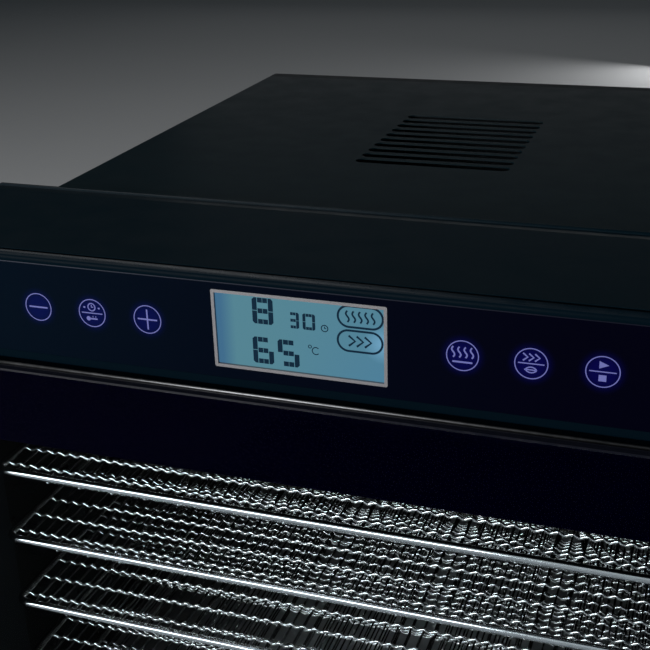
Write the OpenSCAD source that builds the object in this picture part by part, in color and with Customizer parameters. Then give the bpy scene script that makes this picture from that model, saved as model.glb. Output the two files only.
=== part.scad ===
/* [Body] */
// Width of the moulded front frame
frame_w = 456; // [430:1:480]
// Depth of the front frame behind its front bezel
frame_d = 102.5; // [90:0.5:115]
// Distance from the front glass to the back of the rear cover
body_d = 500; // [450:1:560]
// Step from the side of the front frame in to the side of the cabinet
side_step = 17; // [12:0.5:22]
// Drop from the top of the front frame to the top of the cabinet
top_drop = 11.7; // [4:0.1:18]
// Corner radius of the front frame, seen from the front
frame_r = 8; // [6:0.5:12]
// Corner radius of the bent cabinet sheet
cabinet_r = 5; // [3:0.5:8]
// Wall of the moulded housings
wall = 2.5; // [2:0.1:3]
// Thickness of the sheet steel
sheet = 0.8; // [0.6:0.1:1.2]
// Height of the front sill, from the underside of the frame to the chamber floor
sill_h = 25; // [20:1:40]
// Height of the rubber feet
foot_h = 8; // [5:1:14]
// Diameter of the rubber feet
foot_d = 24; // [18:1:30]

/* [Control panel] */
// Radius of the bezel's rounded top edge, which is also its thickness
bezel_r = 4.5; // [4:0.1:6]
// Height of the control glass
glass_h = 48; // [46:1:56]
// Thickness of the control glass
glass_t = 3; // [2:0.1:3]
// Height of the bezel's lip under the control glass
lip_h = 4.6; // [3:0.1:8]
// Outer width of the display trim
display_w = 84; // [70:1:96]
// Outer height of the display trim
display_h = 38.7; // [30:0.1:39]
// Width of the display trim's border
display_border = 1.5; // [1.2:0.1:2.5]
// Height of the display's centre above the glass's centre
display_rise = 0.8; // [0:0.1:1]
// Distance from the middle to the nearest touch key
key_first = 75.7; // [64:0.1:82]
// Distance between neighbouring touch keys
key_pitch = 29.6; // [24:0.1:32]
// Diameter of a touch spring
touch_d = 8; // [6:0.5:10]

/* [Chamber and trays] */
// Width of the frame on either side of the chamber's mouth
jamb_w = 32; // [31:0.5:38]
// Depth of the motor's space, from the bulkhead to the back
motor_room = 68.5; // [66:0.5:80]
// Depth of the fan's space, from its guard to the bulkhead
fan_room = 50; // [48:0.5:60]
// Vertical distance between tray slots
slot_pitch = 22; // [18:0.5:26]
// Number of tray slots
slot_count = 11; // [10:1:13]
// Distance from the top of the front frame to a tray in the top slot
top_slot_drop = 94; // [90:1:110]
// Distance from the front glass back to a tray's front rod
tray_setback = 18.7; // [16:0.1:24]
// Diameter of a tray's rim rod
rim_d = 4.4; // [3.6:0.1:5]
// Diameter of the thinner rods under the rim
under_rod_d = 2.4; // [1.8:0.1:3]
// Diameter of a mesh wire
wire_d = 1.2; // [0.9:0.1:1.4]
// Distance between mesh wires
wire_pitch = 12.5; // [11:0.5:20]
// Radius of a tray's corners, at the middle of the rod
tray_r = 7; // [6:0.5:10]
// Width of the gap between a tray and the chamber wall
tray_side_gap = 4; // [3:0.1:6]
// Height of the drip tray
drip_h = 12; // [8:0.5:14]

/* [Door] */
// Thickness of the door glass
door_glass_t = 6; // [5:0.5:7]
// Thickness of the door's side stiles
stile_t = 12; // [11:0.5:14]
// Width of the door's side stiles
stile_w = 23; // [22:1:28]
// Gap from the front glass's plane to the back of the door
door_standoff = 1; // [0.8:0.1:2]
// Gap between the bezel's lip and the door
door_top_gap = 3.2; // [3:0.1:5]
// Gap between the door's sides and the sides of the frame
door_side_gap = 2; // [1:0.1:3]
// Distance from the underside of the frame to the door
door_bottom_gap = 6; // [5:0.1:10]
// Diameter of the hinge pins
pin_d = 5; // [4:0.1:5.6]
// Distance from the door to the middle of its handle
handle_reach = 28; // [26:0.5:40]
// Diameter of the handle bar
handle_d = 12; // [10:0.5:14]
// Length of the handle bar
handle_len = 150; // [120:1:200]

/* [Vents] */
// Number of slots in the cabinet top
vent_count = 10; // [6:1:12]
// Length of a vent slot
vent_len = 99; // [70:1:120]
// Width of a vent slot
vent_w = 9.6; // [6:0.1:10.4]
// Distance between vent slots
vent_pitch = 13.8; // [12:0.1:15]
// Distance from the front glass to the middle of the vent
vent_y = 302.7; // [280:0.1:310]

/* [Fan and heater] */
// Diameter of the fan
fan_d = 170; // [140:1:176]
// Number of fan blades
blade_count = 5; // [3:1:7]
// Diameter of the fan's shaft
shaft_d = 6; // [5:0.1:8]
// Distance from the fan's axis to the straight sides of the heater loop
heater_r = 102; // [96:1:108]
// Diameter of the heater tube
heater_d = 7; // [6:0.1:8]
// Bore of the gland for the supply cord
gland_bore = 8; // [6:0.1:9]

/* [Hidden] */
$fn = 48;

// Clearances and small thicknesses
seat = 0.3;
running = 0.05;
screw_gap = 0.1;
eps = 0.01;
board_t = 1.6;
plate_t = 1.6;

// Colours
moulded_black = [0.07, 0.08, 0.09];
gloss_black = [0.02, 0.03, 0.05];
enamel = [0.06, 0.06, 0.07];
steel = [0.80, 0.81, 0.82];
zinc = [0.62, 0.63, 0.64];
rubber_black = [0.04, 0.04, 0.04];
board_green = [0.05, 0.32, 0.16];

// Heights
tray_count = 5;
slots_per_tray = 2;
drip_space = 24;
top_z = foot_h + sill_h + drip_space + slot_pitch * (slot_count - 1) + top_slot_drop;
bottom_slot_z = foot_h + sill_h + drip_space;
floor_z = foot_h + sill_h;
console_h = bezel_r + glass_h + lip_h;
console_z = top_z - console_h;
roof_z = top_z - top_slot_drop + 20;
mouth_h = roof_z - floor_z;
frame_h = top_z - foot_h;
glass_z = console_z + lip_h + glass_h / 2;
display_z = glass_z + display_rise;
key_z = display_z;
cabinet_z = foot_h + wall;
cabinet_top = top_z - top_drop;
cabinet_h = cabinet_top - cabinet_z;
fan_z = (floor_z + roof_z) / 2;
function slot_z(k) = bottom_slot_z + slot_pitch * k;
function tray_z(k) = slot_z(slots_per_tray * (tray_count - k));

// Widths
cabinet_w = frame_w - 2 * side_step;
mouth_w = frame_w - 2 * jamb_w;
tray_w = mouth_w - 2 * tray_side_gap;
panel_t = 2.4;
rib_reach = tray_side_gap + 8;
rib_t = 3.2;

// Depths, from the plane of the front glass towards the back
face_y = 1.5;
seam_y = bezel_r;
front_wall = 3;
groove = 1.2;
frame_back = seam_y + frame_d;
bead_r = 2.2;
bead_y = frame_back - bead_r;
valley_l = 11;
valley_t = 1.2;
sleeve_back = 31.5;
rib_front = 40;
guard_gap = 15;
bulkhead_y = body_d - motor_room;
guard_y = bulkhead_y - fan_room;
tray_back = guard_y - guard_gap;
tray_d = tray_back - tray_setback + rim_d / 2;
cover_d = 12;
cover_y = body_d - cover_d;
insert = 8;
cabinet_y = frame_back - insert;

// Control board
board_y = seam_y + front_wall + 7;
board_w = 2 * (key_first + 2 * key_pitch) + 44;
board_h = glass_h - 6;
key_x = [for (side = [-1, 1], k = [0:2]) side * (key_first + k * key_pitch)];
board_post_x = key_first + 2 * key_pitch + 16;
board_post_dz = board_h / 2 - 5;
post_d = 7;
small_screw_d = 2.5;
screw_d = 3.5;

// Door
door_w = frame_w - 2 * door_side_gap;
door_z = foot_h + door_bottom_gap;
door_top = console_z - door_top_gap;
door_h = door_top - door_z;
door_back = -door_standoff;
door_front = door_back - stile_t;
hinge_x = -(door_w / 2 - stile_t / 2);
hinge_y = door_back - stile_t / 2;
rebate = 6;
door_glass_w = door_w - 2 * (stile_w - rebate);
leaf_gap = 0.3;
pin_depth = 12;
pin_head_d = 8;
pin_head_h = 0.9;
flange_h = 26;
flange_w = 16;
flange_x = hinge_x - 3;
leaf_screw_d = 2.5;
leaf_screw_x = flange_x + flange_w / 2;
magnet_d = 8;
magnet_t = 4;
strike_t = 2;
// The catches and the handle share the middle of the solid part of the stile
latch_x = -hinge_x - magnet_d / 2 - 0.5;
handle_x = latch_x;
catch_z = [door_z + 40, door_top - 40];
handle_z = (door_z + door_top) / 2;
handle_y = door_front - handle_reach;
handle_post_d = 9;
gasket_w = 6;
gasket_gap = 3;

// Fan, motor and heater
hub_d = 30;
hub_y = bulkhead_y - 28;
hub_l = 16;
shaft_front = hub_y - 10;
motor_gap = 12;
motor_y = bulkhead_y + motor_gap;
stack_w = 62;
stack_h = 52;
stack_l = 22;
rotor_d = 28;
rotor_gap = 0.5;
strap_t = 2;
post_x = 24;
rear_strap_y = motor_y + stack_l;
shaft_back = rear_strap_y + strap_t + 5;
coil_y = bulkhead_y - 22;
bend_r = 9;
loop_r = heater_r - 22;
terminal_x = heater_r - loop_r - bend_r;
terminal_back = bulkhead_y + 14;

// The model's middle, from its handle to its rear cover
front_most = handle_y - handle_d / 2;
centre_y = (front_most + body_d) / 2;

module placed() translate([0, -centre_y, 0]) children();

// A shape drawn in X and Z, from depth y0 to y1
module along_y(y0, y1) translate([0, y1, 0]) rotate([90, 0, 0]) linear_extrude(y1 - y0) children();

// A shape drawn in Y and Z, from x0 to x1
module along_x(x0, x1) translate([x0, 0, 0]) rotate([90, 0, 90]) linear_extrude(x1 - x0) children();

module rod_x(x0, x1, y, z, d) translate([x0, y, z]) rotate([0, 90, 0]) cylinder(h = x1 - x0, d = d);

module rod_y(y0, y1, x, z, d) translate([x, y1, z]) rotate([90, 0, 0]) cylinder(h = y1 - y0, d = d);

module box(x0, x1, y0, y1, z0, z1) translate([x0, y0, z0]) cube([x1 - x0, y1 - y0, z1 - z0]);

// Centred in X and standing on its lower edge
module rounded_rect(w, h, r) {
    translate([-w / 2 + r, 0]) square([w - 2 * r, h]);
    translate([-w / 2, r]) square([w, h - 2 * r]);
    for (x = [-w / 2 + r, w / 2 - r], z = [r, h - r]) translate([x, z]) circle(r);
}

module slot_2d(len, w) {
    square([len - w, w], center = true);
    for (side = [-1, 1]) translate([side * (len - w) / 2, 0]) circle(d = w);
}

// A screw whose head sits at y and whose shank runs forward, towards -Y
module screw_forward(x, y, z, d, len) {
    rod_y(y, y + d * 0.6, x, z, d * 1.9);
    rod_y(y - len, y, x, z, d);
}

module frame_outline(inset = 0)
    translate([0, foot_h + inset]) rounded_rect(frame_w - 2 * inset, frame_h - 2 * inset, frame_r - inset);

// Rounded at the two bends on top, and square where the wrap meets the base pan
module cabinet_outline(inset = 0) {
    w = cabinet_w - 2 * inset;
    translate([0, cabinet_z + inset]) rounded_rect(w, cabinet_h - 2 * inset, cabinet_r - inset);
    translate([-w / 2, cabinet_z + inset]) square([w, cabinet_r]);
}

module mouth_outline(grow = 0, r = 4)
    translate([0, floor_z - grow]) rounded_rect(mouth_w + 2 * grow, mouth_h + 2 * grow, r + grow);

// Side view of the front frame: stepped front, and a shallow valley before the bead at the back
module frame_side() {
    translate([face_y, foot_h]) square([frame_back - face_y, console_z - seat - foot_h]);
    polygon([[seam_y, foot_h], [bead_y, foot_h], [bead_y, top_z - valley_t],
        [bead_y - valley_l, top_z], [seam_y, top_z]]);
    translate([seam_y, foot_h]) square([frame_back - seam_y, frame_h - bead_r]);
    translate([bead_y, top_z - bead_r]) circle(bead_r);
}

// Plan view of the front frame, with the same valley and bead down both sides
module frame_plan() {
    half = frame_w / 2;
    polygon([[-half, 0], [half, 0], [half, bead_y - valley_l], [half - valley_t, bead_y],
        [valley_t - half, bead_y], [-half, bead_y - valley_l]]);
    translate([bead_r - half, 0]) square([frame_w - 2 * bead_r, frame_back]);
    for (side = [-1, 1]) translate([side * (half - bead_r), bead_y]) circle(bead_r);
}

module frame_ribs() {
    rib = 2;
    side_x = mouth_w / 2 + wall;
    for (side = [-1, 1], k = [1:4]) {
        z = floor_z + mouth_h * k / 5;
        x0 = side > 0 ? side_x - eps : -frame_w / 2 + wall - eps;
        x1 = x0 + frame_w / 2 - wall - side_x + 2 * eps;
        box(x0, x1, seam_y + front_wall - eps, sleeve_back, z, z + rib);
    }
}

module front_frame() color(moulded_black) placed() difference() {
    union() {
        difference() {
            intersection() {
                along_x(-frame_w / 2, frame_w / 2) frame_side();
                linear_extrude(top_z) frame_plan();
                along_y(0, frame_back) frame_outline();
            }
            along_y(seam_y + front_wall, frame_back - wall) frame_outline(wall);
        }
        along_y(face_y + 1, sleeve_back) mouth_outline(wall);
        frame_ribs();
        for (x = [-1, 1], dz = [-1, 1])
            rod_y(seam_y + 1, board_y, x * board_post_x, glass_z + dz * board_post_dz, post_d);
    }
    along_y(-1, frame_back + 1) mouth_outline();
    along_y(frame_back - wall - 1, frame_back + 1) cabinet_outline(-seat);
    box(-frame_w, frame_w, seam_y - eps, seam_y + groove, top_z - groove, top_z + 1);
    display_window();
    for (x = key_x) rod_y(0, board_y, x, key_z, touch_d + 3);
    for (x = [-1, 1], dz = [-1, 1])
        rod_y(seam_y + 2, board_y + 1, x * board_post_x, glass_z + dz * board_post_dz,
            small_screw_d + 2 * screw_gap);
    hinge_pockets();
    for (z = catch_z) rod_y(0, face_y + magnet_t, latch_x, z, magnet_d + 2 * screw_gap);
    for (x = foot_x) translate([x, front_foot_y, foot_h - 1]) cylinder(h = wall + 2, d = screw_d);
}

module display_window() {
    w = display_w - 2 * display_border;
    h = display_h - 2 * display_border;
    box(-w / 2, w / 2, 0, seam_y + front_wall + 1, display_z - h / 2, display_z + h / 2);
}

module hinge_pockets() for (top = [0, 1]) {
    z0 = top ? door_top + leaf_gap + plate_t - flange_h : door_z - leaf_gap - plate_t;
    box(flange_x - screw_gap, flange_x + flange_w + screw_gap, 0, face_y + plate_t,
        z0 - screw_gap, z0 + flange_h + screw_gap);
    for (k = [1, 2])
        rod_y(0, face_y + 5, leaf_screw_x, z0 + flange_h * k / 3, leaf_screw_d + 2 * screw_gap);
}

// Side view of the bezel: quarter-round top edge, and a softened lower lip
module bezel_side() {
    translate([0, console_z + 1]) square([bezel_r, console_h - bezel_r - 1]);
    translate([1, console_z]) square([bezel_r - 1, console_h - bezel_r]);
    translate([1, console_z + 1]) circle(1);
    intersection() {
        translate([bezel_r, top_z - bezel_r]) circle(bezel_r);
        translate([0, top_z - bezel_r]) square([bezel_r, bezel_r]);
    }
}

glass_w = frame_w - 2 * 6;
ledge = 2.5;

module front_bezel() color(moulded_black) placed() difference() {
    intersection() {
        along_x(-frame_w / 2, frame_w / 2) bezel_side();
        along_y(0, bezel_r) frame_outline();
    }
    translate([0, 0, console_z + lip_h]) along_y(-1, glass_t) rounded_rect(glass_w, glass_h, 3);
    translate([0, 0, console_z + lip_h + ledge])
        along_y(-1, bezel_r + 1) rounded_rect(glass_w - 2 * ledge, glass_h - 2 * ledge, 2);
}

module control_glass() color(gloss_black) placed() difference() {
    fit = 0.1;
    translate([0, 0, console_z + lip_h + fit])
        along_y(0, glass_t) rounded_rect(glass_w - 2 * fit, glass_h - 2 * fit, 3);
    translate([0, 0, display_z - display_h / 2 - fit])
        along_y(-1, glass_t + 1) rounded_rect(display_w + 2 * fit, display_h + 2 * fit, 1);
}

module display_trim() color(zinc) placed() difference() {
    translate([0, 0, display_z - display_h / 2]) along_y(0, seam_y) rounded_rect(display_w, display_h, 0.8);
    display_window();
}

module display_module() color([0.30, 0.46, 0.54]) placed() {
    w = display_w - 2 * display_border - 2 * seat;
    h = display_h - 2 * display_border - 2 * seat;
    back = seam_y + front_wall;
    box(-w / 2, w / 2, 0.8, back + eps, display_z - h / 2, display_z + h / 2);
    box(-w / 2 - 4, w / 2 + 4, back, board_y, display_z - h / 2 - 2, display_z + h / 2 + 2);
}

module control_board() color(board_green) placed() difference() {
    chip_y = board_y + board_t;
    union() {
        box(-board_w / 2, board_w / 2, board_y, chip_y, glass_z - board_h / 2, glass_z + board_h / 2);
        box(-12, 12, chip_y - eps, chip_y + 2.4, glass_z - 8, glass_z + 8);
        box(50, 74, chip_y - eps, chip_y + 7, glass_z - 4, glass_z + 4);
        rod_y(chip_y - eps, chip_y + 9, -60, glass_z, 12);
    }
    for (x = [-1, 1], dz = [-1, 1])
        rod_y(board_y - 1, chip_y + 1, x * board_post_x, glass_z + dz * board_post_dz,
            small_screw_d + 2 * screw_gap);
}

module touch_springs() color(steel) placed() for (x = key_x) difference() {
    rod_y(glass_t, board_y, x, key_z, touch_d);
    rod_y(glass_t + 1, board_y + 1, x, key_z, touch_d - 2);
}

module board_screws() color(zinc) placed() for (x = [-1, 1], dz = [-1, 1])
    screw_forward(x * board_post_x, board_y + board_t, glass_z + dz * board_post_dz, small_screw_d, 7);

ribbon_drop_y = board_y + board_t + 14;
power_w = 100;
power_x = mouth_w / 2 - power_w - 18;
ribbon_w = 20;
ribbon_x = power_x + 28;
power_d = 46;
power_leg = 6;
power_y = bulkhead_y - power_d - 6;
power_z = roof_z + sheet + power_leg;

// Side view of the flat ribbon: back from the control board, down, and along over the chamber roof
module ribbon_cable() color([0.7, 0.7, 0.7]) placed() {
    y0 = board_y + board_t;
    y1 = ribbon_drop_y;
    z0 = glass_z;
    z1 = power_z + board_t + 4;
    t = 1;
    along_x(ribbon_x, ribbon_x + ribbon_w) {
        translate([y0, z0]) square([y1 - y0, t]);
        translate([y1 - t, z1]) square([t, z0 - z1 + t]);
        translate([y1 - t, z1]) square([power_y - y1 + t, t]);
    }
}

module power_board() color(board_green) placed() difference() {
    x0 = power_x;
    x1 = x0 + power_w;
    y0 = power_y;
    y1 = y0 + power_d;
    top = power_z + board_t;
    connector_d = 8;
    union() {
        box(x0, x1, y0, y1, power_z, top);
        box(ribbon_x - 6, ribbon_x + ribbon_w + 6, y0, y0 + connector_d, top - eps, top + 10);
        box(x1 - 40, x1 - 18, y0 + connector_d + 4, y0 + connector_d + 22, top - eps, top + 16);
        box(x0 + 12, x1 - 56, y0 + 2 * connector_d, y1 - 4, top - eps, top + 22);
        for (x = [x0 + 5, x1 - 5], y = [y0 + 5, y1 - 5])
            translate([x, y, roof_z + sheet]) cylinder(h = power_leg + eps, d = 6);
    }
    box(ribbon_x - seat, ribbon_x + ribbon_w + seat, ribbon_drop_y, y0 + 0.2, power_z, top + 20);
}

vent_first = vent_y - vent_pitch * (vent_count - 1) / 2;

module vent_slots(z0, z1) for (k = [0:vent_count - 1])
    translate([0, vent_first + k * vent_pitch, z0]) linear_extrude(z1 - z0) slot_2d(vent_len, vent_w);

// The inside of the wrap, standing on its bottom flanges
module cabinet_outline_inner() {
    w = cabinet_w - 2 * sheet;
    translate([0, cabinet_z + sheet]) rounded_rect(w, cabinet_h - 3 * sheet, cabinet_r - sheet);
    translate([-w / 2, cabinet_z + sheet]) square([w, cabinet_r]);
}

// Folded wrap: a top and two sides, with flanges turned in over the base pan
module cabinet_shell() color([0.08, 0.10, 0.12]) placed() difference() {
    leg_flange = 12;
    along_y(cabinet_y, cover_y) difference() {
        cabinet_outline();
        translate([0, sheet]) cabinet_outline_inner();
        translate([-cabinet_w, cabinet_z - 1]) square([2 * cabinet_w, sheet + 1]);
        translate([-cabinet_w / 2 + leg_flange, cabinet_z]) square([cabinet_w - 2 * leg_flange, cabinet_r]);
    }
    vent_slots(cabinet_top - 5, cabinet_top + 1);
}

module base_pan() color(zinc) placed() difference() {
    upstand = 10;
    inner_w = cabinet_w - 2 * sheet - 2 * 12;
    union() {
        box(-cabinet_w / 2, cabinet_w / 2, cabinet_y, cover_y, cabinet_z, cabinet_z + sheet);
        for (y = [cabinet_y, cover_y - sheet])
            box(-inner_w / 2, inner_w / 2, y, y + sheet, cabinet_z, cabinet_z + upstand);
    }
    for (x = foot_x) translate([x, rear_foot_y, cabinet_z - 1]) cylinder(h = sheet + 2, d = screw_d);
    for (k = [-4:4]) translate([k * 34, (cabinet_y + cover_y) / 2, cabinet_z - 1])
        linear_extrude(sheet + 2) slot_2d(22, 5);
}

foot_x = [-(cabinet_w / 2 - 30), cabinet_w / 2 - 30];
front_foot_y = seam_y + 32;
rear_foot_y = cover_y - 30;

// A tapered rubber foot with a recess for its screw and a stem into the panel above
module foot(top, panel) {
    stem_d = screw_d - 2 * screw_gap;
    difference() {
        cylinder(h = top, d1 = foot_d - 3, d2 = foot_d);
        translate([0, 0, -1]) cylinder(h = 4, d = 8);
    }
    cylinder(h = top + panel + 1, d = stem_d);
    translate([0, 0, top + panel]) cylinder(h = 1.5, d = 2 * screw_d);
}

module feet() color(rubber_black) placed() for (x = foot_x) {
    translate([x, front_foot_y, 0]) foot(foot_h, wall);
    translate([x, rear_foot_y, 0]) foot(cabinet_z, sheet);
}

cover_post_d = 9;
cover_screw_x = cabinet_w / 2 - 14;
cover_screw_z = [cabinet_z + 16, cabinet_z + cabinet_h / 2, cabinet_top - 16];
gland_x = -cabinet_w / 2 + 52;
gland_z = cabinet_z + 34;
gland_d = 16;
intake_r = 62;

// Rear cover: a shallow moulded pan with a ring of curved intake slots
module rear_cover() color(moulded_black) placed() difference() {
    union() {
        difference() {
            along_y(cover_y, body_d) cabinet_outline();
            along_y(cover_y - 1, body_d - wall) cabinet_outline(wall);
        }
        for (side = [-1, 1], z = cover_screw_z)
            rod_y(cover_y + 1, body_d - 1, side * cover_screw_x, z, cover_post_d);
    }
    for (side = [-1, 1], z = cover_screw_z) {
        rod_y(cover_y - 1, body_d + 1, side * cover_screw_x, z, screw_d + 2 * screw_gap);
        rod_y(body_d - 3, body_d + 1, side * cover_screw_x, z, 2 * screw_d + 2 * screw_gap);
    }
    rod_y(body_d - wall - 1, body_d + 1, gland_x, gland_z, gland_d);
    intake_slots();
}

// Concentric arcs cut in four sectors
module intake_slots() {
    ring = 10;
    slot = 5;
    difference() {
        along_y(body_d - wall - 1, body_d + 1) translate([0, fan_z]) for (k = [1:5]) difference() {
            circle(intake_r - ring * (5 - k));
            circle(intake_r - ring * (5 - k) - slot);
        }
        for (a = [45, 135]) translate([0, 0, fan_z]) rotate([0, a, 0])
            box(-intake_r - 5, intake_r + 5, body_d - 2 * wall, body_d + 2, -3, 3);
    }
}

module rear_screws() color(zinc) placed() for (side = [-1, 1], z = cover_screw_z)
    translate([side * cover_screw_x, 0, z]) {
        rod_y(body_d - 3, body_d - 3 + screw_d * 0.6, 0, 0, screw_d * 1.9);
        rod_y(cover_y - 4, body_d - 3 + eps, 0, 0, screw_d);
    }

module cord_gland() color(rubber_black) placed() difference() {
    union() {
        rod_y(body_d - wall - 4, body_d - screw_gap, gland_x, gland_z, gland_d - 2 * screw_gap);
        rod_y(body_d - wall - 5, body_d - wall - seat, gland_x, gland_z, gland_d + 6);
    }
    rod_y(body_d - wall - 8, body_d + 5, gland_x, gland_z, gland_bore);
}

module chamber_sheet(z0) difference() {
    w = mouth_w / 2 + panel_t;
    box(-w, w, sleeve_back, bulkhead_y, z0, z0 + sheet);
}

module chamber_roof() color(enamel) placed() difference() {
    chamber_sheet(roof_z);
    vent_slots(roof_z - 1, roof_z + sheet + 1);
}

module chamber_floor() color(enamel) placed() chamber_sheet(floor_z - sheet);

// Side view of a tray rib: a tapered nose in front and a stop at the back
module rib_side(z) {
    top = z - rim_d / 2 - 0.2;
    back = tray_back + 6;
    polygon([[rib_front, top - 2], [rib_front + 8, top], [tray_back + 1, top], [tray_back + 1, top + 4],
        [back, top + 4], [back, top - rib_t], [rib_front + 8, top - rib_t]]);
}

module side_panel(side) {
    inner = mouth_w / 2;
    mirror([side < 0 ? 1 : 0, 0, 0]) {
        box(inner, inner + panel_t, sleeve_back, bulkhead_y, floor_z, roof_z);
        for (k = [0:slot_count - 1]) along_x(inner - rib_reach, inner + eps) rib_side(slot_z(k));
    }
}

module side_panel_left() color(enamel) placed() side_panel(-1);

module side_panel_right() color(enamel) placed() side_panel(1);

crossbar_w = 24;
crossbar_inset = 10;
crossbar_y = [cabinet_y + 4 * crossbar_inset, guard_y - crossbar_inset];

// Hat sections that carry the chamber floor over the base pan
module floor_crossbars() color(zinc) placed() for (y = crossbar_y) {
    z0 = cabinet_z + sheet;
    z1 = floor_z - sheet;
    w = mouth_w - 40;
    for (x = [-w / 2, w / 2 - sheet]) box(x, x + sheet, y, y + crossbar_w, z0, z1);
    box(-w / 2, w / 2, y, y + crossbar_w, z1 - sheet, z1);
    box(-w / 2, w / 2, y, y + sheet, z0, z1);
    box(-w / 2, w / 2, y + crossbar_w - sheet, y + crossbar_w, z0, z1);
}

module exhaust_duct() color(enamel) placed() {
    w = vent_len + 12;
    d = vent_pitch * (vent_count - 1) + vent_w + 12;
    z0 = roof_z + sheet;
    z1 = cabinet_top - sheet - seat;
    difference() {
        box(-w / 2, w / 2, vent_y - d / 2, vent_y + d / 2, z0, z1);
        box(-w / 2 + 1, w / 2 - 1, vent_y - d / 2 + 1, vent_y + d / 2 - 1, z0 - 1, z1 + 1);
    }
    difference() {
        box(-w / 2 - 7, w / 2 + 7, vent_y - d / 2, vent_y + d / 2, z0, z0 + 1);
        box(-w / 2 + 0.5, w / 2 - 0.5, vent_y - d / 2 - 1, vent_y + d / 2 + 1, z0 - 1, z0 + 2);
    }
}

// Perforated baffle: rows of slots between the tray levels
module fan_guard() color(enamel) placed() difference() {
    guard_t = 1.2;
    slot_l = 30;
    gap = 7;
    columns = floor((mouth_w - 24) / (slot_l + gap));
    box(-mouth_w / 2 + seat, mouth_w / 2 - seat, guard_y, guard_y + guard_t, floor_z + seat, roof_z - seat);
    for (k = [0:slot_count - 1], c = [0:columns - 1])
        translate([(c - (columns - 1) / 2) * (slot_l + gap), 0, slot_z(k) + slot_pitch * 0.42])
            along_y(guard_y - 1, guard_y + guard_t + 1) slot_2d(slot_l, 6);
    rod_y(guard_y - 1, guard_y + guard_t + 1, probe_x, probe_z, probe_d + 2 * screw_gap);
}

probe_d = 5;
probe_x = -mouth_w / 2 + 28;
probe_z = slot_z(slot_count - 1) + 2;

module temperature_probe() color(steel) placed() {
    rod_y(guard_y - 3.5, guard_y + 12, probe_x, probe_z, probe_d);
    rod_y(guard_y + 1.2, guard_y + 3, probe_x, probe_z, probe_d + 5);
}

module rear_bulkhead() color(zinc) placed() difference() {
    w = cabinet_w / 2 - sheet - seat;
    z0 = cabinet_z + 2 * sheet + seat;
    z1 = cabinet_top - sheet - seat - cabinet_r;
    box(-w, w, bulkhead_y, bulkhead_y + sheet, z0, z1);
    rod_y(bulkhead_y - 1, bulkhead_y + 2, 0, fan_z, shaft_d + 8);
    for (side = [-1, 1])
        rod_y(bulkhead_y - 1, bulkhead_y + 2, side * terminal_x, fan_z - heater_r, heater_d + 4);
    for (a = [30:60:330]) translate([0, 0, fan_z]) rotate([0, a, 0])
        translate([0, 0, 54]) along_y(bulkhead_y - 1, bulkhead_y + 2) slot_2d(30, 12);
}

// A rounded square loop of tube, whose ends turn back through elbows and pass through the bulkhead
module heater_coil() color([0.45, 0.42, 0.40]) placed() translate([0, coil_y, fan_z]) rotate([90, 0, 0]) {
    side = heater_r - loop_r;
    for (k = [0:3]) rotate([0, 0, 90 * k]) translate([side, side, 0])
        rotate_extrude(angle = 90) translate([loop_r, 0]) circle(d = heater_d);
    rod_x(-side, side, heater_r, 0, heater_d);
    for (x = [-heater_r, heater_r]) rod_y(-side, side, x, 0, heater_d);
    for (k = [0, 1]) mirror([k, 0, 0]) translate([-side, -heater_r, 0]) {
        translate([0, 0, -bend_r]) rotate([0, -90, -90])
            rotate_extrude(angle = 90) translate([bend_r, 0]) circle(d = heater_d);
        translate([bend_r, 0, coil_y - terminal_back])
            cylinder(h = terminal_back - coil_y - bend_r, d = heater_d);
    }
}

// Radial plates that the heater loop passes through
module heater_clips() color(zinc) placed() for (a = [0, 90, 270]) translate([0, 0, fan_z]) rotate([0, a, 0])
    difference() {
        t = 1.5;
        union() {
            box(-t / 2, t / 2, coil_y - 8, bulkhead_y, heater_r - 7, heater_r + 7);
            box(-t / 2, 8, bulkhead_y - t, bulkhead_y, heater_r - 7, heater_r + 7);
        }
        translate([-9, coil_y, heater_r]) rotate([0, 90, 0]) cylinder(h = 18, d = heater_d + 0.2);
    }

module thermal_cutout() color([0.85, 0.82, 0.70]) placed() {
    rod_y(bulkhead_y - 8, bulkhead_y, -90, fan_z + 80, 16);
    box(-100, -80, bulkhead_y - 2, bulkhead_y, fan_z + 74, fan_z + 86);
}

module fan_motor() color([0.50, 0.48, 0.45]) placed() difference() {
    low = fan_z - stack_h / 2;
    union() {
        box(-stack_w / 2, stack_w / 2, motor_y, motor_y + stack_l, low, low + stack_h - 4);
        box(-17, 17, motor_y - 6, motor_y + stack_l + 6, low - 18, low + eps);
    }
    rod_y(motor_y - 1, motor_y + stack_l + 1, 0, fan_z, rotor_d + 2 * rotor_gap);
    for (side = [-1, 1])
        rod_y(motor_y - 1, motor_y + stack_l + 1, side * post_x, fan_z, screw_d + 2 * screw_gap);
}

module bearing_strap(y) difference() {
    union() {
        along_y(y, y + strap_t) translate([0, fan_z]) slot_2d(2 * post_x + 14, 14);
        rod_y(y - 2, y + strap_t + 2, 0, fan_z, 14);
    }
    rod_y(y - 3, y + strap_t + 3, 0, fan_z, shaft_d + 2 * running);
    for (side = [-1, 1]) rod_y(y - 3, y + strap_t + 3, side * post_x, fan_z, screw_d + 2 * screw_gap);
}

module motor_brackets() color(zinc) placed() {
    bearing_strap(motor_y - strap_t);
    bearing_strap(rear_strap_y);
}

// Spacers from the bulkhead, with a stud through the stack and a nut at the back
module motor_posts() color(zinc) placed() for (side = [-1, 1]) {
    x = side * post_x;
    rod_y(bulkhead_y + sheet, motor_y - strap_t, x, fan_z, post_d + 2);
    rod_y(motor_y - strap_t - eps, rear_strap_y + strap_t + screw_d + 1, x, fan_z, screw_d);
    rod_y(rear_strap_y + strap_t, rear_strap_y + strap_t + screw_d, x, fan_z, 2 * screw_d);
}

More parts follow.
